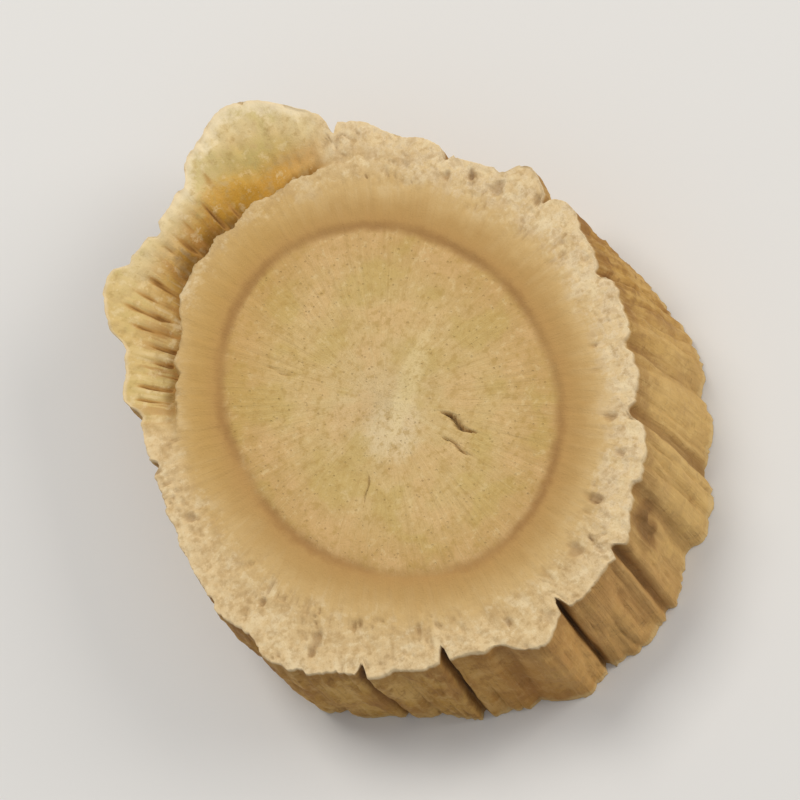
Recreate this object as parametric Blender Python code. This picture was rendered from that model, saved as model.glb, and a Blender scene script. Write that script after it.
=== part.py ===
"""One slice of dried astragalus root, lying on its lower cut.

Metres, +Z up. The origin is on the surface that the slice lies on, under the middle of its box.
The long way across the slice, with the lifted bark at its far end, is along +Y. The root was cut
at a slant, so the side wall runs out towards -Y from the upper cut to the lower one.
"""
import math

import bmesh
import bpy

MM = 0.001

# Size of the slice, from one cut to the other
THICKNESS = 5.5 * MM
LEAN = math.tan(math.radians(11.0))
PITH_PLACE = (-0.52 * MM, -0.75 * MM)

# Wood: the growth ring that bounds it is a slanted cut through a round root, so it is an oval
RING_MIDDLE = (0.2 * MM, -0.1 * MM)
RING_HALF_WIDTH = 6.7 * MM
RING_HALF_LENGTH = 8.2 * MM
RING_GROOVE = 0.12 * MM

# Outline of the upper cut: degrees round the pith from +X, and millimetres out from the pith
OUTLINE = (
    (0, 10.6), (9, 11.15), (15, 11.0), (21, 11.45), (30, 11.0), (38, 10.95), (45, 11.5), (54, 11.95),
    (60, 12.5), (65, 12.95), (71, 14.1), (77, 15.2), (84, 15.55), (90, 14.95), (96, 13.9),
    (104, 13.45), (118, 13.8), (124, 12.9), (131, 11.7), (140, 11.2), (149, 10.35), (160, 10.2),
    (176, 10.35), (198, 11.15), (207, 11.6), (215, 12.1), (226, 11.85), (241, 11.9), (252, 11.75),
    (265, 12.9), (271, 12.35), (277, 12.4), (283, 12.35), (291, 12.2), (300, 11.6), (309, 11.45),
    (317, 10.8), (328, 10.6), (348, 10.6),
)

# How much further out the wall is at the lower cut: degrees, millimetres
SPREAD = (
    (4, 0.8), (9, -0.1), (16, -0.6), (30, -0.5), (58, -0.6), (84, -1.6), (117, -1.1), (150, -0.5),
    (190, -0.3), (204, -0.35), (222, -0.6), (235, -0.65), (245, -0.15), (254, 0.0), (262, -0.4),
    (271, 0.05), (283, 0.35), (293, 0.4), (306, 0.9), (318, 1.3), (343, 1.45), (356, 1.25),
)

# Furrows along the side: degrees round the pith, depth in millimetres, half width in degrees
FURROWS = (
    (272.5, 0.7, 1.1), (247, 0.7, 1.2), (230, 0.55, 1.3), (288, 0.45, 1.7), (300.5, 0.3, 2.6),
    (317, 0.35, 3.0), (333, 0.2, 3.0), (352, 0.25, 2.2), (15, 0.4, 1.6), (27, 0.25, 2.4),
    (41, 0.4, 1.8), (65, 0.6, 1.4), (94, 0.3, 2.2), (104, 0.35, 2.0), (112.5, 0.3, 1.8),
    (127.5, 0.35, 2.4), (142, 0.3, 3.0), (157, 0.3, 2.0), (174, 0.15, 3.6), (192, 0.18, 2.2),
    (205, 0.12, 2.8), (217, 0.2, 2.0), (258, 0.2, 2.6),
)
FURROW_FADE = 0.35

# Shallow wrinkles between them: how many round the root, depth in millimetres, where they start,
# and how far they drift round on the way down the side, both in radians
WRINKLES = ((19, 0.06, 0.4, 0.9), (31, 0.05, 2.1, -1.4))

# Lifted bark: outside this line the upper cut drops to a torn shelf. Both lists are in degrees
# round the pith and millimetres: how far out the line runs, and how deep the shelf starts.
SHELF_LINE = (
    (0, 9.2), (40, 9.9), (70, 10.8), (92, 10.6), (112, 10.3), (121, 9.7), (132, 9.1), (145, 8.9),
    (200, 9.3), (240, 9.7), (300, 9.9),
)
SHELF_STEP = 0.25 * MM
SHELF_DROP = (
    (0, 0), (60, 0), (67, 0.15), (74, 0.65), (85, 1.15), (97, 1.35), (110, 1.2), (122, 0.85),
    (134, 0.6), (146, 0.2), (154, 0), (300, 0),
)
SHELF_RISE = ((0.3, 0.9), (0.7, 0.5))
SHELF_RIM_DROP = 0.32

# Mesh of the slice
EDGE_ROUND = 0.18 * MM
BELLY = 0.12 * MM
COLUMN_STEP = 3.4
SHARP_EDGE = math.radians(35)
WALL_ROWS = 7
WOOD_ROWS = (0.35, 0.7, 0.95)
FOOT_ROWS = (0.85, 0.45)
MERGE = 0.01 * MM
HALF_GRID = 0.5


def along_loop(knots, degrees):
    """Value of a closed smooth curve through (degrees, value) knots."""
    count = len(knots)
    here = degrees % 360.0
    start = count - 1
    for index, (knot, _) in enumerate(knots):
        if knot <= here:
            start = index
    at = [knots[(start + step) % count] for step in (-1, 0, 1, 2)]
    gap_before = (at[1][0] - at[0][0]) % 360.0
    gap = (at[2][0] - at[1][0]) % 360.0
    gap_after = (at[3][0] - at[2][0]) % 360.0
    share = ((here - at[1][0]) % 360.0) / gap
    slope_in = gap * (at[2][1] - at[0][1]) / (gap_before + gap)
    slope_out = gap * (at[3][1] - at[1][1]) / (gap + gap_after)
    square = share * share
    cube = square * share
    return (
        (2 * cube - 3 * square + 1) * at[1][1]
        + (cube - 2 * square + share) * slope_in
        + (3 * square - 2 * cube) * at[2][1]
        + (cube - square) * slope_out
    )


def ring_radius(degrees):
    """Distance from the pith to the growth ring."""
    turn = math.radians(degrees)
    reach = 1 / math.hypot(math.cos(turn) / RING_HALF_WIDTH, math.sin(turn) / RING_HALF_LENGTH)
    return reach + RING_MIDDLE[0] * math.cos(turn) + RING_MIDDLE[1] * math.sin(turn)


def furrow_depth(degrees, height):
    """Depth of the side's furrows at this place, a little less towards the lower cut."""
    depth = 0.0
    for middle, deepest, half_width in FURROWS:
        away = abs((degrees - middle + 180.0) % 360.0 - 180.0)
        depth = max(depth, deepest * MM * (1 - away / half_width))
    return depth * (1 - FURROW_FADE * (1 - height / THICKNESS))


def side_distance(degrees, height):
    """Distance from the root's line to the side wall at this height."""
    down = 1 - height / THICKNESS
    turn = math.radians(degrees)
    out = along_loop(OUTLINE, degrees) + along_loop(SPREAD, degrees) * down
    for count, depth, start, drift in WRINKLES:
        out += depth * math.sin(count * turn + start + drift * down)
    return out * MM + BELLY * math.sin(math.pi * down) - furrow_depth(degrees, height)


def half_section(degrees):
    """(distance from the root's line, height) from the upper cut's pith over the rim to the lower one's."""
    ring = ring_radius(degrees)
    rim = side_distance(degrees, THICKNESS)
    drop = max(0.0, along_loop(SHELF_DROP, degrees)) * MM
    line = along_loop(SHELF_LINE, degrees) * MM
    foot_of_step = line + SHELF_STEP
    rim_height = THICKNESS - drop * SHELF_RIM_DROP

    points = [(0.0, THICKNESS)]
    points += [(ring * share, THICKNESS) for share in WOOD_ROWS]
    points += [
        (ring, THICKNESS - RING_GROOVE),
        (ring + EDGE_ROUND * 2, THICKNESS),
        (line, THICKNESS),
        (foot_of_step, THICKNESS - drop),
    ]
    for share, depth in SHELF_RISE:
        points.append((foot_of_step + (rim - foot_of_step) * share, THICKNESS - drop * depth))
    points.append((rim - EDGE_ROUND, rim_height))

    top = rim_height - EDGE_ROUND
    for row in range(WALL_ROWS + 1):
        height = top + (EDGE_ROUND - top) * row / WALL_ROWS
        points.append((side_distance(degrees, height), height))

    foot = points[-1][0] - EDGE_ROUND
    points.append((foot, 0.0))
    points += [(foot * share, 0.0) for share in FOOT_ROWS]
    points.append((0.0, 0.0))
    return points


def column_angles():
    """Angles of the mesh's columns: three on each furrow, and even steps over the ridges between."""
    angles = []
    furrows = sorted(FURROWS)
    for (middle, _, half_width), (next_middle, _, next_half) in zip(furrows, furrows[1:] + furrows[:1]):
        start = middle + half_width
        end = next_middle - next_half
        if end < start:
            end += 360.0
        steps = max(1, round((end - start) / COLUMN_STEP))
        angles.append(middle)
        angles += [start + (end - start) * step / steps for step in range(steps + 1)]
    return angles


def build_slice():
    """Wrap a flat grid round the root's line: its columns are half sections, its rows run round."""
    angles = column_angles()
    sections = [half_section(degrees) for degrees in angles]
    rows = len(sections[0])
    grid = bmesh.new()
    bmesh.ops.create_grid(grid, x_segments=len(angles), y_segments=rows - 1, size=HALF_GRID)
    for vertex in grid.verts:
        column = round((vertex.co.x + HALF_GRID) * len(angles)) % len(angles)
        row = round((vertex.co.y + HALF_GRID) * (rows - 1))
        reach, height = sections[column][row]
        turn = math.radians(angles[column])
        vertex.co = (
            PITH_PLACE[0] + reach * math.cos(turn),
            PITH_PLACE[1] + reach * math.sin(turn) - LEAN * (THICKNESS - height),
            height,
        )
    bmesh.ops.remove_doubles(grid, verts=grid.verts, dist=MERGE)
    bmesh.ops.triangulate(grid, faces=grid.faces)
    bmesh.ops.recalc_face_normals(grid, faces=grid.faces)
    mesh = bpy.data.meshes.new("root_slice")
    grid.to_mesh(mesh)
    grid.free()
    mesh.shade_smooth()
    mesh.set_sharp_from_angle(angle=SHARP_EDGE)
    return mesh


def root_material():
    """Dry root: matt, pale straw brown."""
    material = bpy.data.materials.new("dry_root")
    material.use_nodes = True
    shader = material.node_tree.nodes["Principled BSDF"]
    shader.inputs["Base Color"].default_value = (0.56, 0.39, 0.18, 1.0)
    shader.inputs["Roughness"].default_value = 0.8
    shader.inputs["Metallic"].default_value = 0.0
    return material


for old in list(bpy.data.objects):
    bpy.data.objects.remove(old, do_unlink=True)

slice_mesh = build_slice()
slice_mesh.materials.append(root_material())
root_slice = bpy.data.objects.new("root_slice", slice_mesh)
bpy.context.scene.collection.objects.link(root_slice)
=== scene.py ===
import math

import bmesh
import bpy
from mathutils import Matrix, Vector, noise


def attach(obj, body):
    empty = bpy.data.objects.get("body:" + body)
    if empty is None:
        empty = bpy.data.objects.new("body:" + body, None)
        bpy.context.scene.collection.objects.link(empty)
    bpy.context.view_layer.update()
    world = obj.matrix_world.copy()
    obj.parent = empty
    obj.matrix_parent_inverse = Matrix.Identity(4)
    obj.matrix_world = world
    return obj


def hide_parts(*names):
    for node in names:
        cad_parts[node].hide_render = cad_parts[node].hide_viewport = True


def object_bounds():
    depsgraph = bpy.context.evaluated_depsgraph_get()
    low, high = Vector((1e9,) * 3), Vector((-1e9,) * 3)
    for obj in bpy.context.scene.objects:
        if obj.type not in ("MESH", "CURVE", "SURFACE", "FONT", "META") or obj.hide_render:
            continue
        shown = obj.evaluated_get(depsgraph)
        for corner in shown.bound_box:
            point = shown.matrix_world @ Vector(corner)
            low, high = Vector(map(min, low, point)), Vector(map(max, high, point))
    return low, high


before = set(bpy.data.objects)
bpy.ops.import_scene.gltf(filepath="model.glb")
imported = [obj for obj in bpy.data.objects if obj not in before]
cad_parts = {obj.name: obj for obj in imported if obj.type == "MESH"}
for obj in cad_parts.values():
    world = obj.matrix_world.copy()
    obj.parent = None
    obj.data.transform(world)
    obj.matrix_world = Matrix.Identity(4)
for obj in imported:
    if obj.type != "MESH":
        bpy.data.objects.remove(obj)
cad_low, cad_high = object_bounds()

# The slice
# A thick slanting cut through one dried root, all of one growth: wood, growth ring, bark and skin.
# The knife left two flat faces, drying drew the side into furrows, and a flap of bark tore loose.

# Millimetres, and degrees round the pith from +X, unless a line says otherwise
MM = 0.001
THICKNESS = 5.5
LEAN = math.tan(math.radians(11.0))
PITH_PLACE = (-0.52, -0.75)

# Wood: the growth ring that bounds it is a slanted cut through a round root, so it is an oval
RING_MIDDLE = (0.2, -0.1)
RING_HALF_WIDTH = 6.7
RING_HALF_LENGTH = 8.2
RING_WANDER = 0.1
RING_GROOVE = 0.1
RING_GROOVE_WIDTH = 0.2

# Outline of the upper cut, and how much further out the side is at the lower one
OUTLINE = (
    (0, 10.6), (9, 11.15), (15, 11.0), (21, 11.45), (30, 11.0), (38, 10.95), (45, 11.5), (54, 11.95),
    (60, 12.5), (65, 12.95), (71, 14.1), (77, 15.2), (84, 15.55), (90, 14.95), (96, 13.9),
    (104, 13.45), (118, 13.8), (124, 12.9), (131, 11.7), (140, 11.2), (149, 10.35), (160, 10.2),
    (176, 10.35), (198, 11.15), (207, 11.6), (215, 12.1), (226, 11.85), (241, 11.9), (252, 11.75),
    (265, 12.9), (271, 12.35), (277, 12.4), (283, 12.35), (291, 12.2), (300, 11.6), (309, 11.45),
    (317, 10.8), (328, 10.6), (348, 10.6),
)
SPREAD = (
    (4, 0.8), (9, -0.1), (16, -0.6), (30, -0.5), (58, -0.6), (84, -1.6), (117, -1.1), (150, -0.5),
    (190, -0.3), (204, -0.35), (222, -0.6), (235, -0.65), (245, -0.15), (254, 0.0), (262, -0.4),
    (271, 0.05), (283, 0.35), (293, 0.4), (306, 0.9), (318, 1.3), (343, 1.45), (356, 1.25),
)
BELLY = 0.12

# Furrows: middle, depth and half width in degrees
FURROWS = (
    (272.5, 0.7, 1.1), (247, 0.7, 1.2), (230, 0.55, 1.3), (288, 0.45, 1.7), (300.5, 0.3, 2.6),
    (317, 0.35, 3.0), (333, 0.2, 3.0), (352, 0.25, 2.2), (15, 0.4, 1.6), (27, 0.25, 2.4),
    (41, 0.4, 1.8), (65, 0.6, 1.4), (94, 0.3, 2.2), (104, 0.35, 2.0), (112.5, 0.3, 1.8),
    (127.5, 0.35, 2.4), (142, 0.3, 3.0), (157, 0.3, 2.0), (174, 0.15, 3.6), (192, 0.18, 2.2),
    (205, 0.12, 2.8), (217, 0.2, 2.0), (258, 0.2, 2.6),
)
FURROW_FADE = 0.35
FURROW_WANDER = 1.3

# Wrinkles: how many go round, depth, and their start and drift on the way down in radians
WRINKLES = ((19, 0.06, 0.4, 0.9), (31, 0.05, 2.1, -1.4))

# Fine relief of the side: folds between the furrows, flaked skin, and the frayed edge at the rim
FOLD_DEPTH = 0.2
FINE_FOLD_DEPTH = 0.13
RIBBING = 0.05
SKIN_THICKNESS = 0.06
SMOOTHER_BELOW_RIM = 1.2
FRAYED_DEPTH = 0.07
FRAYED_HEIGHT = 0.7

# Lifted bark: outside this line the upper cut drops to a torn shelf
SHELF_LINE = (
    (0, 9.2), (40, 9.9), (70, 10.8), (92, 10.6), (112, 10.3), (121, 9.7), (132, 9.1), (145, 8.9),
    (200, 9.3), (240, 9.7), (300, 9.9),
)
SHELF_STEP = 0.25
SHELF_DROP = (
    (0, 0), (60, 0), (67, 0.15), (74, 0.65), (85, 1.15), (97, 1.35), (110, 1.2), (122, 0.85),
    (134, 0.6), (146, 0.2), (154, 0), (300, 0),
)
SHELF_RIM_DROP = 0.32
GAPS_ROUND = 112
GAPS_START = 84
GAPS_FULL = 96
GAP_DEPTH = 0.15

# Scar of a rootlet that grew out of the side
SCAR_DEGREES = 296.5
SCAR_HALF_ANGLE = 5.5
SCAR_HEIGHT = 4.2
SCAR_HALF_HEIGHT = 1.0
SCAR_DEPTH = 0.14
SCAR_DARKEST = 0.66

# Short drying cracks in the wood: start, end, half width and depth
CRACKS = (
    ((1.55, -2.05), (2.05, -3.65), 0.13, 0.7),
    ((0.9, -3.0), (1.45, -4.3), 0.07, 0.25),
    ((-2.4, -2.1), (-3.1, -3.1), 0.06, 0.12),
    ((-2.3, 3.4), (-3.0, 4.3), 0.05, 0.1),
)

# Open pits in the outer bark: degrees round the pith, distance from it, and radius
PITS = (
    (26, 10.1, 0.22), (16, 10.5, 0.16), (33, 10.2, 0.13), (39, 10.0, 0.14), (283, 10.75, 0.24),
    (295, 10.2, 0.18), (307, 10.4, 0.12), (315, 9.65, 0.16), (219, 10.5, 0.2), (173, 9.4, 0.16),
    (262, 11.3, 0.13), (203, 9.8, 0.12),
)
PIT_DEPTH = 0.15
SMALL_PIT_DEPTH = 0.16
SLIT_DEPTH = 0.1

# Both cuts are a little wavy, and their edge crumbles. The lower one clears the table by a hair.
CUT_WAVE = 0.1
CRUMBLE_WIDTH = 0.4
CRUMBLE_DEPTH = 0.1
LOWER_CUT_CLEARANCE = 0.03
UPPER_SEED = 0
LOWER_SEED = 50

# Grid of the surface: its columns go round the root, and its rows, lane by lane, run down one half
# section. Nearer the pith than a share of the way, each odd column lies on the even one before it.
COLUMNS = 660
ROUND_ROWS = 4
LANES = (
    ("wood", 40), ("bark", 20), ("step", 6), ("rim", 24), ("round", ROUND_ROWS),
    ("side", 38), ("under_round", ROUND_ROWS), ("under", 32),
)
HALF_GRID = 0.5
EVEN_COLUMNS_SHARE = 0.5
MERGE = 0.002 * MM
# Hollow shade: painted shade in pits, slits, cracks, the ring groove, gaps, furrows and folds, and the
# scar's brown
SHADES = ("skin", "flake", "hollow", "shelf", "past_ring", "past_line", "to_edge")


def along_loop(knots, degrees):
    """Value of a closed smooth curve through (degrees, value) knots."""
    count = len(knots)
    here = degrees % 360.0
    start = count - 1
    for index, (knot, _) in enumerate(knots):
        if knot <= here:
            start = index
    at = [knots[(start + step) % count] for step in (-1, 0, 1, 2)]
    gap_before = (at[1][0] - at[0][0]) % 360.0
    gap = (at[2][0] - at[1][0]) % 360.0
    gap_after = (at[3][0] - at[2][0]) % 360.0
    share = ((here - at[1][0]) % 360.0) / gap
    slope_in = gap * (at[2][1] - at[0][1]) / (gap_before + gap)
    slope_out = gap * (at[3][1] - at[1][1]) / (gap + gap_after)
    square = share * share
    cube = square * share
    return (
        (2 * cube - 3 * square + 1) * at[1][1]
        + (cube - 2 * square + share) * slope_in
        + (3 * square - 2 * cube) * at[2][1]
        + (cube - square) * slope_out
    )


def ease(low, high, value):
    """Smooth step from 0 at low to 1 at high; low may be the greater."""
    share = min(1.0, max(0.0, (value - low) / (high - low)))
    return share * share * (3 - 2 * share)


def angle_between(degrees, middle):
    """Signed angle from middle to degrees, the short way round."""
    return (degrees - middle + 180.0) % 360.0 - 180.0


class HalfSection:
    """One direction out from the pith: where its ring, shelf and rim lie."""

    def __init__(self, degrees):
        self.degrees = degrees
        self.turn = math.radians(degrees)
        self.across = math.cos(self.turn)
        self.along = math.sin(self.turn)
        oval = 1 / math.hypot(self.across / RING_HALF_WIDTH, self.along / RING_HALF_LENGTH)
        self.ring = oval + RING_MIDDLE[0] * self.across + RING_MIDDLE[1] * self.along
        self.ring += RING_WANDER * self.grain(2.2, 0, 5)
        self.outline = along_loop(OUTLINE, degrees)
        self.spread = along_loop(SPREAD, degrees)
        self.drop = max(0.0, along_loop(SHELF_DROP, degrees))
        self.torn = ease(0.05, 0.5, self.drop)
        ragged = 0.3 * self.grain(10, 0, 3) + 0.08 * self.grain(33, 0, 4) + 0.07 * self.grain(95, 0, 28)
        self.line = along_loop(SHELF_LINE, degrees) + ragged * ease(0, 0.4, self.drop)
        self.rim = self.side(THICKNESS)
        self.foot = self.side(0.0)
        self.rim_height = THICKNESS - self.drop * SHELF_RIM_DROP
        self.round = 0.05 + 0.08 * max(0.0, self.grain(14, 0, 8))

    def grain(self, tightness, climb, seed):
        """Noise that runs along the root: tightness sets how many streaks go round it."""
        return noise.noise(Vector((self.across * tightness, self.along * tightness, climb + seed * 7.31)))

    def furrow(self, height):
        """Depth of the furrows, which wander a little on their way down the side."""
        degrees = self.degrees + FURROW_WANDER * self.grain(5, height * 0.22, 1)
        depth = 0.0
        for middle, deepest, half_width in FURROWS:
            away = abs(angle_between(degrees, middle))
            if away < half_width:
                depth = max(depth, deepest * ease(0, 0.8, 1 - away / half_width))
        return depth * (1 - FURROW_FADE * (1 - height / THICKNESS))

    def side(self, height):
        """Distance from the root's line to the side at this height."""
        down = 1 - height / THICKNESS
        out = self.outline + self.spread * down + BELLY * math.sin(math.pi * down)
        for count, depth, start, drift in WRINKLES:
            out += depth * math.sin(count * self.turn + start + drift * down)
        out -= self.furrow(height)
        below_rim = ease(THICKNESS, THICKNESS - SMOOTHER_BELOW_RIM, height)
        out -= self.folds(height) * (0.5 + 0.5 * below_rim)
        out -= RIBBING * abs(self.grain(64, height * 0.5, 7))
        out += SKIN_THICKNESS * self.flake(height) * below_rim
        out += 0.1 * self.grain(12, height * 0.14, 14)
        lumps = 0.08 * self.grain(7, height * 0.9, 9) + 0.05 * self.grain(22, height * 2.0, 10)
        out += below_rim * lumps
        out -= SCAR_DEPTH * self.scar(height) * (0.5 + 1.6 * self.grain(30, height * 2.4, 11))
        frayed = ease(THICKNESS - FRAYED_HEIGHT, THICKNESS, height)
        out -= FRAYED_DEPTH * frayed * abs(self.grain(58, height * 1.5, 12))
        return out

    def folds(self, height):
        """Depth of the folds between the furrows, some strong and some faint."""
        strong = FOLD_DEPTH * ease(-0.3, 0.2, self.grain(6, height * 0.1, 15))
        fine = FINE_FOLD_DEPTH * ease(-0.3, 0.2, self.grain(9, height * 0.15, 16))
        return max(strong * self.crease(13, height * 0.16, 2), fine * self.crease(29, height * 0.26, 6))

    def flake(self, height):
        """1 where the thin outer skin is still on the side, 0 where it has flaked off."""
        left = self.grain(9, height * 0.5, 25) + 0.45 * self.grain(26, height * 1.1, 26)
        left += 0.2 * self.grain(60, height * 2.2, 27)
        return ease(-0.13, -0.08, left)

    def crease(self, tightness, climb, seed):
        """1 along the narrow folds that drying drew lengthwise in the skin, 0 on the ridges."""
        return max(0.0, 1 - 5.5 * abs(self.grain(tightness, climb, seed))) ** 1.3

    def scar(self, height, size=1.0):
        """1 in the middle of the scar that a rootlet left on the side, 0 away from it."""
        aside = (self.degrees - SCAR_DEGREES) / SCAR_HALF_ANGLE
        above = (height - SCAR_HEIGHT) / SCAR_HALF_HEIGHT
        return ease(size, size * 0.4, math.hypot(aside, above) + 0.35 * self.grain(18, height * 1.2, 13))


def crack_depth(x, y):
    """Depth of the drying cracks at a point of the wood."""
    deepest = 0.0
    for start, end, half_width, depth in CRACKS:
        length = math.dist(start, end)
        along = ((x - start[0]) * (end[0] - start[0]) + (y - start[1]) * (end[1] - start[1])) / length
        aside = ((x - start[0]) * (end[1] - start[1]) - (y - start[1]) * (end[0] - start[0])) / length
        aside += 0.1 * math.sin(along * 4.2)
        share = along / length
        if 0 < share < 1:
            width = half_width * math.sin(math.pi * share) ** 0.6
            if abs(aside) < width:
                deepest = max(deepest, depth * ease(0, 1, 1 - abs(aside) / width))
    return deepest


def small_pit(section, reach, seed):
    """1 in the middle of a small pit, 0 between pits, with how dark that pit's painted shade is."""
    place = Vector((section.across * 24, section.along * 24, reach * 1.15 + seed))
    distances, centres = noise.voronoi(place)
    chosen = noise.cell(centres[0] * 3.7 + Vector((0.5, 0.5, 0.5)))
    size = 0.25 + 0.25 * noise.cell(centres[0] * 2.3)
    return ease(size, size * 0.4, distances[0]) * ease(0.55, 0.62, chosen), ease(0.5, 1.0, chosen)


def slit(section, reach, seed):
    """1 in the middle of a short slit along the rays, 0 between slits."""
    opened = max(0.0, 1 - abs(section.grain(30, reach * 0.8, seed + 11)) * 9)
    place = Vector((reach * section.across * 0.7, reach * section.along * 0.7, seed + 12))
    return opened * ease(0.05, 0.3, noise.noise(place))


def open_pit(section, reach):
    """1 in the middle of an open pit of the upper cut, 0 away from them all."""
    deepest = 0.0
    for degrees, out, radius in PITS:
        if abs(reach - out) < 2 * radius:
            round_it = math.radians(angle_between(section.degrees, degrees)) * out
            away = math.hypot(round_it / radius, 0.7 * (reach - out) / radius)
            uneven = noise.noise(Vector((reach * section.across * 3, reach * section.along * 3, 30)))
            deepest = max(deepest, ease(1.6, 0.5, away + 0.7 * uneven))
    return deepest


def cut_relief(section, reach, edge, seed):
    """Height of a cut face, and the painted shade in its hollows: rays, growth ring, fibrous bark, pits and
    slits.
    """
    x = reach * section.across
    y = reach * section.along
    past_ring = reach - section.ring
    to_edge = edge - reach
    height = CUT_WAVE * noise.noise(Vector((x * 0.13, y * 0.13, seed)))
    height += 0.02 * noise.noise(Vector((x * 1.1, y * 1.1, seed + 3)))
    height += 0.012 * noise.noise(Vector((x * 4.3, y * 4.3, seed + 3)))

    in_wood = 1 - ease(-0.3, 0.1, past_ring)
    rays = section.grain(26, reach * 0.22, seed + 1)
    fine_rays = section.grain(60, reach * 0.5, seed + 2)
    height += in_wood * ease(1.5, 6, reach) * (0.02 * rays + 0.015 * fine_rays)
    year_rings = reach * 5.2 + 2.5 * noise.noise(Vector((x * 0.3, y * 0.3, seed)))
    height += in_wood * 0.008 * math.sin(year_rings)

    groove = math.exp(-((past_ring + 0.1) / RING_GROOVE_WIDTH) ** 2)
    groove *= 0.45 + 0.9 * abs(section.grain(5, 0, seed + 4))
    height -= RING_GROOVE * groove
    # Painted shade in the ring groove
    hollow = 0.25 * groove

    in_bark = ease(-0.1, 0.5, past_ring)
    strands = section.grain(34, reach * 0.45, seed + 5)
    height += in_bark * 0.025 * strands
    outer = ease(1.2, 2.3, past_ring + 0.5 * section.grain(7, 0, seed + 6)) * ease(3.6, 2.4, to_edge)
    height += outer * 0.04 * noise.noise(Vector((x * 1.7, y * 1.7, seed + 8)))
    height += outer * 0.03 * noise.noise(Vector((x * 4.4, y * 4.4, seed + 8)))
    height += outer * 0.03 * section.grain(44, reach * 0.6, seed + 9)
    if outer > 0.02:
        # Small pits and slits, darkened with painted shade
        pit, darkness = small_pit(section, reach, seed)
        height -= SMALL_PIT_DEPTH * pit * outer
        hollow += 0.8 * pit * outer * darkness
        opened = slit(section, reach, seed)
        height -= SLIT_DEPTH * opened * outer
        hollow += 0.45 * opened * outer
    if seed == UPPER_SEED:
        # Open pits, darkened with painted shade
        pit = open_pit(section, reach)
        height -= PIT_DEPTH * pit
        hollow += 0.6 * pit

    crumble = ease(CRUMBLE_WIDTH, 0.0, to_edge)
    height -= crumble * CRUMBLE_DEPTH * max(0.0, section.grain(22, 0, seed + 13))
    height += crumble * 0.03 * section.grain(70, reach, seed + 14)
    return height, min(1.0, hollow)


def torn_relief(section, reach, share):
    """Height of the torn bark outside the step, crossed by short gaps, and the painted shade in the gaps.
    """
    gaps = math.cos(GAPS_ROUND * section.turn + 5.0 * section.grain(6, reach * 0.25, 20))
    gaps = max(0.0, gaps + 0.5 * section.grain(40, reach * 0.8, 22)) ** 4
    gaps *= ease(GAPS_START, GAPS_FULL, section.degrees) * ease(0.0, 0.1, share) * ease(0.85, 0.5, share)
    worn = ease(-0.35, 0.15, section.grain(17, reach * 0.7, 24))
    height = 0.1 * section.grain(9, reach * 1.4, 21) + 0.06 * section.grain(40, reach * 1.1, 23)
    height -= GAP_DEPTH * gaps * (0.3 + worn)
    return height, min(1.0, gaps * (0.25 + worn))


def upper_cut_point(section, lane, share, shades):
    """Reach and height on the upper cut, on the step down from it, or on the bark outside."""
    if lane == "wood":
        reach = section.ring * share
        height = THICKNESS
    elif lane == "bark":
        reach = section.ring + (section.line - section.ring) * share
        height = THICKNESS
    elif lane == "step":
        height = THICKNESS - section.drop * math.sin(share * math.pi / 2)
        fibres = section.grain(22, height * 0.8, 17) + section.grain(60, height * 1.2, 18)
        midway = ease(0, 0.3, share) * ease(1, 0.6, share) * ease(0.2, 0.8, section.drop)
        reach = section.line + SHELF_STEP * share + 0.22 * midway * fibres
        shades["shelf"] = section.torn * share
    else:
        inner = section.line + SHELF_STEP
        reach = inner + (section.rim - section.round - inner) * share
        height = THICKNESS - section.drop * (1 - (1 - SHELF_RIM_DROP) * ease(0, 1, share))
        shades["shelf"] = section.torn
    relief, shades["hollow"] = cut_relief(section, reach, section.rim, UPPER_SEED)
    if lane == "rim":
        torn_height, gap_shade = torn_relief(section, reach, share)
        relief += section.torn * torn_height
        # On the torn bark the painted shade of its gaps replaces that of the cut
        shades["hollow"] += section.torn * (gap_shade - shades["hollow"])
    return reach, height + relief


def side_point(section, share, shades):
    """Reach and height on the side, with its skin, its flakes, the painted shade of its hollows, and the
    scar.
    """
    top = section.rim_height - section.round
    height = top + (section.round - top) * share
    peeled = ease(-0.3, 0.5, section.along) * (0.25 + 0.4 * section.grain(16, 0, 19))
    peeled += 0.1 * section.grain(50, 0, 23)
    shades["skin"] = ease(-0.06, 0.06, top - height - peeled)
    shades["flake"] = section.flake(height)
    # The scar's dark brown, with a fainter darkening round it
    scarred = section.scar(height) * (0.42 - 0.45 * section.grain(30, height * 2.4, 11))
    scarred = min(SCAR_DARKEST, scarred + 0.26 * section.scar(height, 1.9))
    # Painted shade in the furrows and folds, weaker on the torn flap
    furrow_shade = 1.4 * section.furrow(height) + 1.6 * section.folds(height) * ease(top, top - 0.8, height)
    furrow_shade *= 1 - 0.75 * section.torn
    shades["hollow"] = min(1.0, max(furrow_shade, scarred))
    return section.side(height), height


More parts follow.
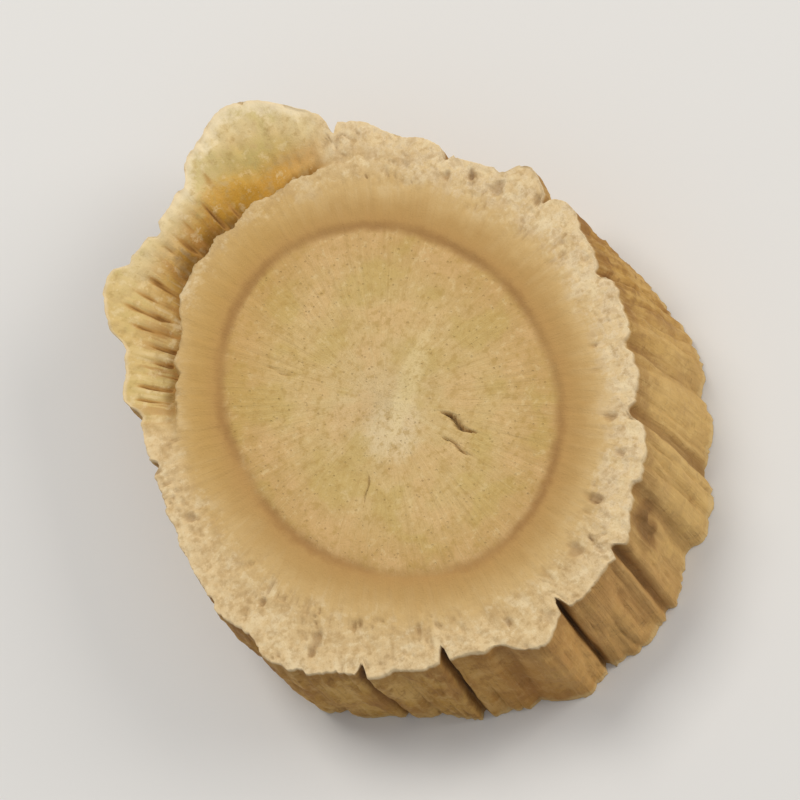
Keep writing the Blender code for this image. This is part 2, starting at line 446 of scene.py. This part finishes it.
def surface_point(section, lane, share):
    """Reach, height and shades of a point on one half section of the slice."""
    shades = dict.fromkeys(SHADES, 0.0)
    edge = section.rim
    if lane in ("wood", "bark", "step", "rim"):
        reach, height = upper_cut_point(section, lane, share, shades)
    elif lane == "round":
        quarter = share * math.pi / 2
        relief, shades["hollow"] = cut_relief(section, section.rim - section.round, section.rim, UPPER_SEED)
        reach = section.rim - section.round * (1 - math.sin(quarter))
        height = section.rim_height - section.round * (1 - math.cos(quarter)) + relief * (1 - share)
        shades["shelf"] = section.torn * (1 - share)
    elif lane == "side":
        reach, height = side_point(section, share, shades)
    elif lane == "under_round":
        quarter = share * math.pi / 2
        reach = section.foot - section.round * (1 - math.cos(quarter))
        height = section.round * (1 - math.sin(quarter))
        shades["skin"] = ease(0.8, 0.2, share)
    else:
        edge = section.foot
        reach = (section.foot - section.round) * (1 - share)
        relief, shades["hollow"] = cut_relief(section, reach, section.foot, LOWER_SEED)
        height = max(0.0, LOWER_CUT_CLEARANCE - relief)
    shades["past_ring"] = reach - section.ring
    shades["past_line"] = reach - section.line
    shades["to_edge"] = edge - reach
    return reach, height, shades


sections = [HalfSection(360.0 * column / COLUMNS) for column in range(COLUMNS)]
rows = [("wood", 0.0)]
for lane, count in LANES:
    rows += [(lane, (step + 1) / count) for step in range(count)]

body = bmesh.new()
shade_layers = {name: body.verts.layers.float.new(name) for name in SHADES}
bmesh.ops.create_grid(body, x_segments=COLUMNS, y_segments=len(rows) - 1, size=HALF_GRID)
for vertex in body.verts:
    column = round((vertex.co.x + HALF_GRID) * COLUMNS) % COLUMNS
    lane, share = rows[round((vertex.co.y + HALF_GRID) * (len(rows) - 1))]
    near_upper_pith = lane == "wood" and share < EVEN_COLUMNS_SHARE
    near_lower_pith = lane == "under" and share > EVEN_COLUMNS_SHARE
    if near_upper_pith or near_lower_pith:
        column -= column % 2
    section = sections[column]
    reach, height, shades = surface_point(section, lane, share)
    x = reach * section.across
    y = reach * section.along
    if lane == "wood":
        depth = crack_depth(x, y)
        height -= depth
        # Painted shade in the cracks
        shades["hollow"] += min(1.0, depth * 3)
    vertex.co = (
        (PITH_PLACE[0] + x) * MM,
        (PITH_PLACE[1] + y - LEAN * (THICKNESS - height)) * MM,
        height * MM,
    )
    for name, layer in shade_layers.items():
        vertex[layer] = shades[name]
bmesh.ops.remove_doubles(body, verts=body.verts, dist=MERGE)
bmesh.ops.recalc_face_normals(body, faces=body.faces)
slice_mesh = bpy.data.meshes.new("cut_root")
body.to_mesh(slice_mesh)
body.free()
slice_mesh.shade_smooth()
cut_root = bpy.data.objects.new("cut_root", slice_mesh)
bpy.context.scene.collection.objects.link(cut_root)


def tint(red, green, blue):
    """A colour picked on screen, as the shader's linear one."""
    parts = [part / 255 for part in (red, green, blue)]
    return (*(part / 12.92 if part < 0.04 else ((part + 0.055) / 1.055) ** 2.4 for part in parts), 1.0)


class Shade:
    """An output of the root's node tree. Sums written on it add the Math nodes that make them."""

    def __init__(self, tree, socket):
        self.tree = tree
        self.socket = socket

    def node(self, kind, settings, inputs, output=0):
        """Adds a node: its settings first, then a value or a link for each named input."""
        made = self.tree.nodes.new(kind)
        for name, setting in settings.items():
            setattr(made, name, setting)
        for name, value in inputs.items():
            if isinstance(value, Shade):
                self.tree.links.new(value.socket, made.inputs[name])
            else:
                made.inputs[name].default_value = value
        return Shade(self.tree, made.outputs[output])

    def maths(self, operation, *terms):
        return self.node("ShaderNodeMath", {"operation": operation}, dict(enumerate(terms)))

    def __add__(self, other):
        return self.maths("ADD", self, other)

    def __sub__(self, other):
        return self.maths("SUBTRACT", self, other)

    def __rsub__(self, other):
        return self.maths("SUBTRACT", other, self)

    def __mul__(self, other):
        return self.maths("MULTIPLY", self, other)

    def __truediv__(self, other):
        return self.maths("DIVIDE", self, other)

    def __neg__(self):
        return self.maths("MULTIPLY", self, -1.0)

    def __abs__(self):
        return self.maths("ABSOLUTE", self)

    __radd__ = __add__
    __rmul__ = __mul__

    def ease(self, low, high):
        """1 past high, 0 before low, smooth between; low may be the greater."""
        limits = {"Value": self, "From Min": low, "From Max": high}
        return self.node("ShaderNodeMapRange", {"interpolation_type": "SMOOTHSTEP"}, limits)

    def band(self, middle, half_width):
        """1 at the middle, falling smoothly to 0 a half width away on both sides."""
        return abs(self - middle).ease(half_width, 0.0)

    def noise(self, scale, detail, roughness=0.55):
        inputs = {"Vector": self, "Scale": scale, "Detail": detail, "Roughness": roughness}
        return self.node("ShaderNodeTexNoise", {}, inputs)

    def plain(self, red, green, blue):
        """One colour all over, to paint on."""
        made = self.node("ShaderNodeRGB", {}, {})
        made.socket.default_value = tint(red, green, blue)
        return made

    def toward(self, colour, share):
        """This colour mixed toward another by a share from 0 to 1."""
        return self.node("ShaderNodeMix", {"data_type": "RGBA"}, {0: share, 6: self, 7: colour}, output=2)

    def painted(self, *layers):
        """This colour under layers of (colour, share), painted on in their order."""
        colour = self
        for layer, share in layers:
            colour = colour.toward(tint(*layer), share)
        return colour


class RootGrain:
    """What the root's colours follow: where a point lies on the slice, and its patterns there."""

    def __init__(self, tree):
        self.start = Shade(tree, None)
        for name in SHADES:
            attribute = {"attribute_name": name}
            setattr(self, name, self.start.node("ShaderNodeAttribute", attribute, {}, output=2))

        place = self.start.node("ShaderNodeTexCoord", {}, {}, output=3)
        in_millimetres = {"Vector": place, "Scale": 1 / MM}
        place = place.node("ShaderNodeVectorMath", {"operation": "SCALE"}, in_millimetres)
        from_the_pith = {"Vector": place, "Location": (-PITH_PLACE[0], -PITH_PLACE[1], 0.0)}
        place = place.node("ShaderNodeMapping", {}, from_the_pith)
        apart = place.node("ShaderNodeSeparateXYZ", {}, {"Vector": place}).socket.node.outputs
        self.height = Shade(tree, apart[2])
        self.across = Shade(tree, apart[0])
        self.along = Shade(tree, apart[1]) + (THICKNESS - self.height) * LEAN
        square = self.across * self.across + self.along * self.along
        self.reach = square.maths("SQRT", square)

        # Patterns that run with the root's rays and along its side
        self.broad_rays = self.streaks(6.0, self.reach * 0.15)
        self.rays = self.streaks(30.0, self.reach * 0.35)
        self.fine_rays = self.streaks(85.0, self.reach * 0.9)
        self.bands = self.streaks(13.0, self.height * 0.3)
        self.threads = self.streaks(60.0, self.height * 0.3, detail=3.0)

        # Patterns with no direction, from broad to fine
        self.patches = place.noise(0.45, 3.0)
        self.drift = place.noise(0.5, 2.0)
        self.mottle = place.noise(0.9, 4.0)
        self.crumbs = place.noise(1.9, 4.0, 0.65)
        self.speckle = place.noise(3.2, 3.0)
        self.grit = place.noise(14.0, 2.0)
        cells = {"Vector": place, "Scale": 3.4, "Randomness": 1.0}
        to_pore = place.node("ShaderNodeTexVoronoi", {}, cells)
        self.pores = to_pore.ease(0.2, 0.08) * self.past_ring.ease(0.0, -0.5)

    def streaks(self, tightness, climb, detail=2.0):
        """Noise drawn out along the reach or the height, with even streaks all the way round."""
        far = self.reach.maths("MAXIMUM", self.reach, 0.05)
        ways = {0: self.across / far * tightness, 1: self.along / far * tightness, 2: climb}
        return self.reach.node("ShaderNodeCombineXYZ", {}, ways).noise(1.0, detail)

    def patch(self, x, y, half_length, half_width, degrees):
        """1 in the middle of a soft oval patch on the cut, 0 outside its ragged edge."""
        turn = math.radians(degrees)
        far_x, far_y = self.across - x, self.along - y
        longways = (far_x * math.cos(turn) + far_y * math.sin(turn)) / half_length
        sideways = (far_y * math.cos(turn) - far_x * math.sin(turn)) / half_width
        ragged = (self.crumbs - 0.5) * 1.6
        return (longways * longways + sideways * sideways + ragged).ease(1.1, 0.0)


def wood_colour(at):
    """Straw wood: paler round the pith, browner towards the ring, with rays, specks and pores."""
    return at.start.plain(202, 172, 116).painted(
        ((214, 188, 142), (at.reach + at.mottle * 3.0).ease(4.9, 1.6) * 0.65),
        ((190, 152, 95), at.past_ring.ease(-3.2, -0.2) * 0.85),
        ((186, 160, 88), at.drift.ease(0.5, 0.62) * 0.45),
        ((212, 174, 122), at.drift.ease(0.48, 0.36) * 0.4),
        ((222, 202, 162), at.patch(-0.5, -1.4, 1.7, 1.4, 34) * 0.6),
        ((226, 204, 152), at.patch(1.3, -0.1, 3.0, 0.6, 34) * 0.55),
        ((216, 194, 144), at.broad_rays.ease(0.54, 0.7) * at.reach.ease(5.0, 1.5) * 0.35),
        ((176, 142, 82), at.rays.ease(0.5, 0.72) * at.reach.ease(0.8, 3.5) * 0.3),
        ((220, 194, 140), at.fine_rays.ease(0.5, 0.75) * at.reach.ease(0.5, 3.0) * 0.18),
        ((172, 138, 72), at.speckle.ease(0.52, 0.7) * 0.5),
        ((220, 196, 146), at.speckle.ease(0.44, 0.3) * 0.35),
        ((180, 146, 84), at.crumbs.ease(0.52, 0.66) * 0.35),
        ((178, 148, 90), at.grit.ease(0.52, 0.7) * 0.4),
        ((150, 116, 64), at.pores * at.mottle.ease(0.42, 0.6) * 0.4),
    )


def bark_colour(at, wood):
    """Beige inner bark, cream mealy outer bark, and the brown growth ring between wood and bark."""
    wavy = at.past_ring + (at.rays - 0.5) * 0.6 + (at.mottle - 0.5) * 1.0 + (at.crumbs - 0.5) * 0.5
    mealy = wavy.ease(1.2, 2.8)
    chalk = (at.across - at.along * 0.1 + (at.mottle - 0.5) * 9.0).ease(1.0, 7.0)
    chalk = chalk * mealy * at.crumbs.ease(0.44, 0.58) * at.to_edge.ease(2.6, 1.2)
    by_the_tear = (at.along - at.across * 0.8).ease(5.0, 10.0) * at.past_line.ease(0.1, -0.6)
    ring_band = (at.past_ring + (at.mottle - 0.5) * 0.7).band(0.2, 0.65)
    ring_line = (at.past_ring + (at.crumbs - 0.5) * 0.5).band(0.0, 0.38)
    line_strength = at.streaks(1.4, 3.0).ease(0.36, 0.6)
    return wood.painted(
        ((184, 147, 89), at.past_ring.ease(-0.35, 0.25)),
        ((174, 136, 80), at.past_ring.ease(-0.3, 0.3) * at.across.ease(-5.0, 7.0) * 0.35),
        ((200, 167, 111), wavy.ease(0.6, 1.9)),
        ((206, 177, 128), wavy.ease(1.7, 2.9)),
        ((219, 192, 146), (at.to_edge + (at.mottle - 0.5) * 0.8).ease(1.8, 0.3) * 0.8),
        ((229, 211, 178), chalk * 0.55),
        ((186, 152, 100), at.rays.ease(0.5, 0.7) * at.past_ring.ease(0.0, 0.8) * 0.25),
        ((222, 200, 156), at.fine_rays.ease(0.52, 0.74) * wavy.ease(0.8, 2.2) * 0.16),
        ((184, 144, 72), by_the_tear * 0.4),
        ((186, 152, 100), at.mottle.ease(0.47, 0.34) * mealy * 0.35),
        ((230, 212, 174), at.mottle.ease(0.54, 0.66) * mealy * 0.4),
        ((180, 147, 98), at.crumbs.ease(0.5, 0.64) * mealy * 0.5),
        ((228, 207, 164), at.crumbs.ease(0.46, 0.34) * mealy * 0.4),
        ((174, 141, 92), at.speckle.ease(0.53, 0.7) * mealy * 0.5),
        ((234, 215, 174), at.speckle.ease(0.46, 0.3) * mealy * 0.4),
        ((184, 152, 102), at.grit.ease(0.54, 0.7) * mealy * 0.3),
        ((178, 136, 78), ring_band * (0.25 + at.rays * 0.6)),
        ((150, 108, 58), ring_line * (0.15 + line_strength * 0.5)),
    )


def torn_colour(at, bark):
    """Torn bark on the shelf: cream and olive, amber in its middle, painted shade at the foot of the step.
    """
    orange = (at.past_line + (at.crumbs - 0.5) * 0.8).ease(2.0, 1.1) * at.across.ease(0.8, 1.8)
    # Amber in the groove of the shelf: partly the torn bark's own colour, partly painted shade
    amber_and_shade = at.past_line + (at.crumbs - 0.5) * 1.6 + (at.rays - 0.5) * 0.8
    amber_and_shade = amber_and_shade.ease(2.8, 0.9) * at.along.ease(7.0, 9.5)
    amber_and_shade = amber_and_shade * at.across.ease(-7.0, -2.8) * at.across.ease(4.5, 1.5)
    # Painted shade along the foot of the step
    shade_by_the_step = (at.past_line + (at.rays - 0.5) * 0.4).ease(0.85, 0.35)
    # Ribs across the strip: brown painted shade between them, cream painted light on them
    ribs = at.shelf * at.past_line.ease(2.7, 1.0) * at.across.ease(0.6, -1.8)
    # Painted highlight along the thin outer edge of the flap
    edge_highlight = (at.to_edge + (at.crumbs - 0.5) * 1.6).ease(0.9, 0.15) * at.across.ease(-4.5, -0.5)
    # Painted shade in patches beside the foot of the step
    foot = (at.past_line + (at.rays - 0.5) * 1.2 + (at.crumbs - 0.5) * 0.8).ease(1.5, 0.9)
    foot = foot * at.across.ease(0.9, -0.4) * at.across.ease(-4.6, -3.2)
    return bark.painted(
        ((214, 184, 124), at.shelf * 0.8),
        ((216, 195, 146), at.shelf * at.to_edge.ease(2.2, 0.6) * at.across.ease(-8.5, -3.5) * 0.85),
        ((200, 182, 118), at.shelf * at.drift.ease(0.46, 0.58) * at.crumbs.ease(0.4, 0.6) * 0.6),
        ((184, 164, 94), at.shelf * at.patch(1.6, 12.9, 2.6, 1.1, -24) * 0.6),
        ((194, 164, 92), at.shelf * at.across.ease(-4.5, -6.5) * 0.4),
        ((198, 152, 90), at.shelf * orange * 0.7),
        # The groove's amber and dark olive: partly the bark's own colour, partly painted shade
        ((194, 144, 48), at.shelf * amber_and_shade * 0.95),
        ((196, 146, 44), at.shelf * at.patch(-0.1, 12.0, 1.6, 1.4, 0) * 0.8),
        ((156, 112, 28), at.shelf * at.patch(-0.8, 11.4, 2.6, 1.2, 4) * 0.6),
        ((138, 94, 22), at.shelf * shade_by_the_step * 0.75),
        # Painted shade and painted light of the strip's ribs
        ((168, 118, 60), ribs * at.rays.ease(0.5, 0.62) * 0.65),
        ((230, 208, 162), ribs * at.rays.ease(0.48, 0.36) * 0.4),
        ((188, 158, 106), at.shelf * at.crumbs.ease(0.52, 0.66) * 0.4),
        ((228, 208, 162), at.shelf * at.crumbs.ease(0.46, 0.34) * 0.4),
        ((176, 144, 84), at.shelf * at.speckle.ease(0.54, 0.68) * 0.4),
        # Painted highlight on the flap's edge
        ((238, 222, 190), at.shelf * edge_highlight * 0.6),
        # Painted shade beside the step's foot
        ((112, 74, 18), at.shelf * foot * 0.7),
        # Painted shade in the torn gaps
        ((178, 132, 66), at.shelf * at.hollow.ease(0.05, 0.5) * 0.8),
        ((126, 84, 32), at.shelf * at.hollow.ease(0.4, 1.0) * 0.7),
    )


def side_colour(at):
    """Tan side with lengthwise bands and threads, paler where its skin flaked, painted shade in the
    furrows.
    """
    # Paler on the side facing +X and -Y: partly its own paler tone, partly painted light
    pale_and_lit_lobe = (at.across - at.along * 1.3).ease(13.0, 18.0)
    # Darker and browner on the side facing -Y: partly its own browner tone, partly painted shade
    brown_and_shaded_lobe = (-at.along - abs(at.across) * 0.6).ease(6.0, 11.0)
    # Darker just under the rim, off the shelf: partly brown, partly painted shade
    shade_and_brown_under_rim = (at.height + (at.crumbs - 0.5) * 2.0).ease(THICKNESS - 1.4, THICKNESS - 0.2)
    cut_below = (at.height + (at.mottle - 0.5) * 0.6).ease(0.4, 0.1)
    return at.start.plain(194, 152, 80).painted(
        ((179, 134, 62), at.flake * 0.85),
        ((200, 159, 92), at.bands.ease(0.5, 0.68) * 0.5),
        ((154, 108, 52), at.bands.ease(0.47, 0.32) * 0.5),
        ((152, 104, 50), at.patches.ease(0.5, 0.64) * 0.6),
        ((210, 172, 106), at.patches.ease(0.47, 0.35) * 0.45),
        ((212, 174, 110), at.threads.ease(0.54, 0.68) * 0.34),
        ((134, 90, 40), at.threads.ease(0.46, 0.32) * 0.28),
        ((140, 96, 44), at.crumbs.ease(0.52, 0.66) * 0.5),
        ((210, 174, 110), at.crumbs.ease(0.46, 0.34) * 0.4),
        ((150, 106, 52), at.speckle.ease(0.55, 0.68) * 0.3),
        ((218, 184, 120), pale_and_lit_lobe * 0.5),
        ((172, 114, 54), brown_and_shaded_lobe * 0.35),
        ((134, 92, 42), shade_and_brown_under_rim * (1.0 - at.shelf) * 0.4),
        ((214, 184, 128), cut_below * 0.6),
        # Painted shade in the furrows and folds; the scar's brown shares these layers
        ((122, 80, 34), at.hollow.ease(0.1, 0.55) * 0.65),
        ((66, 40, 14), at.hollow.ease(0.45, 1.0) * 0.9),
    )


def root_finish():
    """Dry root, matt all over: fibrous and porous on the cuts, ribbed lengthwise on the side."""
    material = bpy.data.materials.new("dry_root")
    material.use_nodes = True
    tree = material.node_tree
    shader = tree.nodes["Principled BSDF"]
    at = RootGrain(tree)

    cut = torn_colour(at, bark_colour(at, wood_colour(at))).painted(
        # Painted shade in the pits, slits, cracks and ring groove of the cuts
        ((138, 104, 66), at.hollow * (1.0 - at.shelf) * 0.75),
        # Painted highlight along the edge of the cuts
        ((228, 206, 166), at.to_edge.ease(0.25, 0.05) * (0.25 + at.shelf * 0.4)),
    )
    tree.links.new(cut.toward(side_colour(at), at.skin).socket, shader.inputs["Base Color"])

    rough = 0.82 - at.fine_rays * 0.1 + at.speckle * 0.1 - at.skin * 0.08
    tree.links.new(rough.socket, shader.inputs["Roughness"])
    shader.inputs["Specular IOR Level"].default_value = 0.3

    fuzz = (at.grit * 0.5 + at.speckle * 0.5 + at.fine_rays * 0.5 - at.pores * 0.6) * (1.0 - at.skin)
    ribs = at.threads * 1.6 + at.grit * 0.5 + at.streaks(150.0, at.height * 0.8) * 0.8
    lenticels = at.streaks(16.0, at.height * 4.5).ease(0.6, 0.72)
    relief = fuzz + (ribs - lenticels * 0.7) * at.skin
    bump = relief.node("ShaderNodeBump", {}, {"Height": relief, "Distance": 0.06 * MM, "Strength": 0.7})
    tree.links.new(bump.socket, shader.inputs["Normal"])
    return material


cut_root.data.materials.append(root_finish())
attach(cut_root, "root")
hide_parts("root_slice")

# Surroundings
# A plain pale table top, soft daylight from above with two soft boxes, and a camera that looks down
# at the slice at the photograph's angle. From here on, lengths are in metres and powers in watts.

FLOOR_HALF = 0.6
FLOOR_COLOUR = (0.72, 0.71, 0.69, 1.0)
DAYLIGHT_COLOUR = (0.95, 0.97, 1.0, 1.0)
DAYLIGHT_STRENGTH = 0.45
LAMP_COLOUR = (1.0, 0.96, 0.9)

floor_mesh = bmesh.new()
bmesh.ops.create_grid(floor_mesh, x_segments=1, y_segments=1, size=FLOOR_HALF)
floor_data = bpy.data.meshes.new("floor")
floor_mesh.to_mesh(floor_data)
floor_mesh.free()
floor = bpy.data.objects.new("floor", floor_data)
bpy.context.scene.collection.objects.link(floor)
floor_finish = bpy.data.materials.new("floor")
floor_finish.use_nodes = True
floor_shader = floor_finish.node_tree.nodes["Principled BSDF"]
floor_shader.inputs["Base Color"].default_value = FLOOR_COLOUR
floor_shader.inputs["Roughness"].default_value = 0.9
floor.data.materials.append(floor_finish)

world = bpy.data.worlds.new("daylight")
bpy.context.scene.world = world
world.use_nodes = True
world.node_tree.nodes["Background"].inputs["Color"].default_value = DAYLIGHT_COLOUR
world.node_tree.nodes["Background"].inputs["Strength"].default_value = DAYLIGHT_STRENGTH


def soft_light(name, place, size, power):
    """A square soft box that looks at the slice."""
    lamp = bpy.data.lights.new(name, "AREA")
    lamp.size = size
    lamp.energy = power
    lamp.color = LAMP_COLOUR
    holder = bpy.data.objects.new(name, lamp)
    holder.location = place
    holder.rotation_mode = "QUATERNION"
    holder.rotation_quaternion = (-Vector(place)).to_track_quat("-Z", "Y")
    bpy.context.scene.collection.objects.link(holder)


soft_light("window", (-0.03, 0.18, 0.28), 0.14, 0.57)
soft_light("fill", (0.28, -0.09, 0.17), 0.2, 0.52)

CAMERA_ELEVATION = math.radians(66.0)
CAMERA_ROLL = math.radians(-37.9)
CAMERA_DISTANCE = 0.25
CAMERA_LENS = 270.0
CAMERA_NEAREST = 0.01
target = (cad_low + cad_high) / 2
back = Vector((0.0, -math.cos(CAMERA_ELEVATION), math.sin(CAMERA_ELEVATION)))
camera_data = bpy.data.cameras.new("camera")
camera_data.lens = CAMERA_LENS
camera_data.clip_start = CAMERA_NEAREST
camera = bpy.data.objects.new("camera", camera_data)
camera.rotation_mode = "QUATERNION"
upright = (-back).to_track_quat("-Z", "Y").to_matrix()
camera.rotation_quaternion = (upright @ Matrix.Rotation(CAMERA_ROLL, 3, "Z")).to_quaternion()
camera.location = target + back * CAMERA_DISTANCE
bpy.context.scene.collection.objects.link(camera)
bpy.context.scene.camera = camera
bpy.context.scene.view_settings.view_transform = "Standard"
